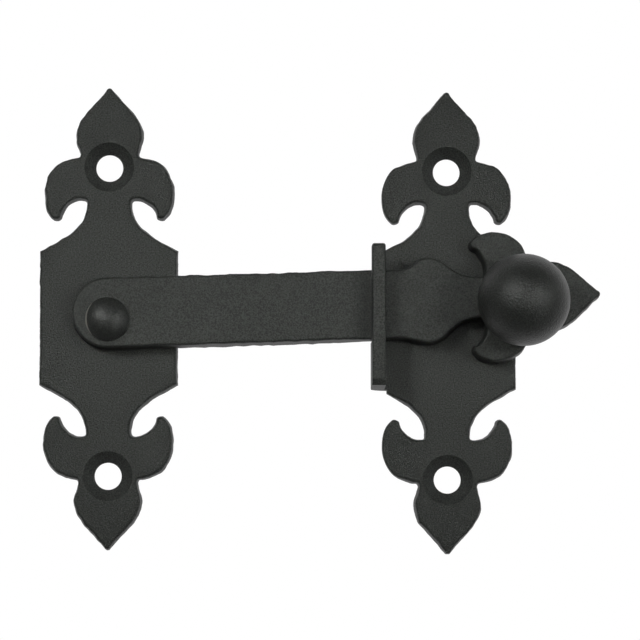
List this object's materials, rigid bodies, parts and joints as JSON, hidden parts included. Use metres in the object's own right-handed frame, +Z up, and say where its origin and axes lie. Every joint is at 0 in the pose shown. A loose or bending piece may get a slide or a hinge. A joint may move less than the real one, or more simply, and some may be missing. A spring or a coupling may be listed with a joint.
{
  "type": "shutter latch",
  "caption": "Drop latch for shutters: a ball-knobbed bar pivots on one fleur-ended plate and drops into a hook folded from the edge of a matching keeper plate.",
  "frame": {"origin": "where the rivet's axis meets the back of the pivot plate, midway between that plate's two screw holes", "axes": "+X along the closed bar from the rivet to the knob, +Y into the shutter behind the plates, +Z up"},
  "size_m": [0.1241, 0.0298, 0.1038],
  "materials": {
    "coated_plate": "fine-grain matte black powder coat",
    "coated_bar": "fine-grain matte black powder coat",
    "coated_rivet": "satin black powder coat, worn at the rim",
    "coated_knob": "satin black powder coat with slight orange peel"
  },
  "bodies": {
    "plates": {"pivot_plate": "coated_plate", "keeper_plate": "coated_plate", "pivot_rivet": "coated_rivet"},
    "bar": {"latch_bar": "coated_bar", "ball_knob": "coated_knob"}
  },
  "joints": [
    {"name": "bar_pivot", "type": "hinge", "parent": "plates", "child": "bar", "pos_m": [0, 0, 0], "axis": [0, -1, 0], "range_deg": [0, 180]}
  ]
}
